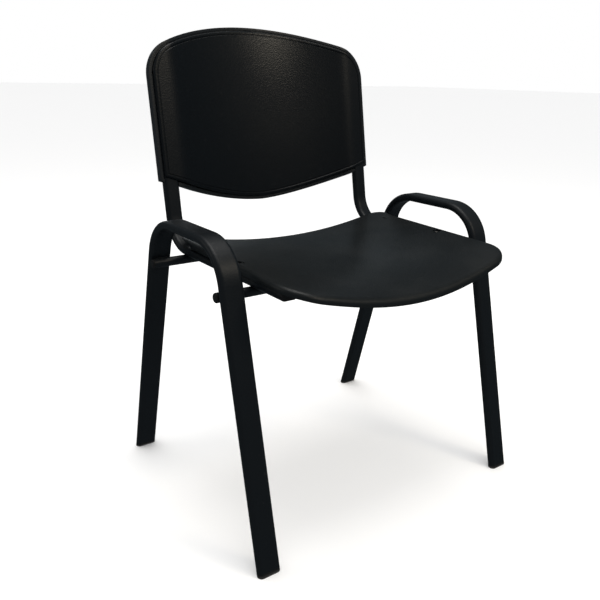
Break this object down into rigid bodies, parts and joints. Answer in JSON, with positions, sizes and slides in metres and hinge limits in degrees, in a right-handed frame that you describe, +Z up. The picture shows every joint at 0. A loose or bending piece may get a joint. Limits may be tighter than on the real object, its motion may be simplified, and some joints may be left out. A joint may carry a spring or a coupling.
{
  "type": "stacking chair",
  "caption": "Armless stacking chair: two inverted-U oval-tube leg hoops, moulded plastic seat and curved backrest on L-shaped tubes.",
  "frame": {"origin": "on the floor under the middle of the outside box", "axes": "+Z up, -Y is the way the sitter faces, +X is the sitter's left; symmetric about X = 0"},
  "size_m": [0.588, 0.5422, 0.82],
  "materials": {
    "black_tube": "satin black powder coat",
    "shell_plastic": "fine-grained black polypropylene, satin",
    "plug_plastic": "smooth black polyethylene",
    "foot_plastic": "scuffed black polyethylene",
    "screw_steel": "black oxide"
  },
  "bodies": {
    "root": {"leg_hoop_left": "black_tube", "leg_hoop_right": "black_tube", "foot_glide_front_left": "foot_plastic", "foot_glide_front_right": "foot_plastic", "foot_glide_rear_left": "foot_plastic", "foot_glide_rear_right": "foot_plastic", "rail_plug_front_left": "plug_plastic", "rail_plug_front_right": "plug_plastic", "rail_plug_rear_left": "plug_plastic", "rail_plug_rear_right": "plug_plastic", "back_frame_left": "black_tube", "back_frame_right": "black_tube", "frame_plug_front_left": "plug_plastic", "frame_plug_front_right": "plug_plastic", "frame_plug_top_left": "plug_plastic", "frame_plug_top_right": "plug_plastic", "cross_rail_front": "black_tube", "cross_rail_rear": "black_tube", "seat_shell": "shell_plastic", "back_front_shell": "shell_plastic", "back_rear_shell": "shell_plastic", "seat_screws": "screw_steel", "seat_bolts": "screw_steel", "back_screws": "screw_steel"}
  },
  "joints": []
}
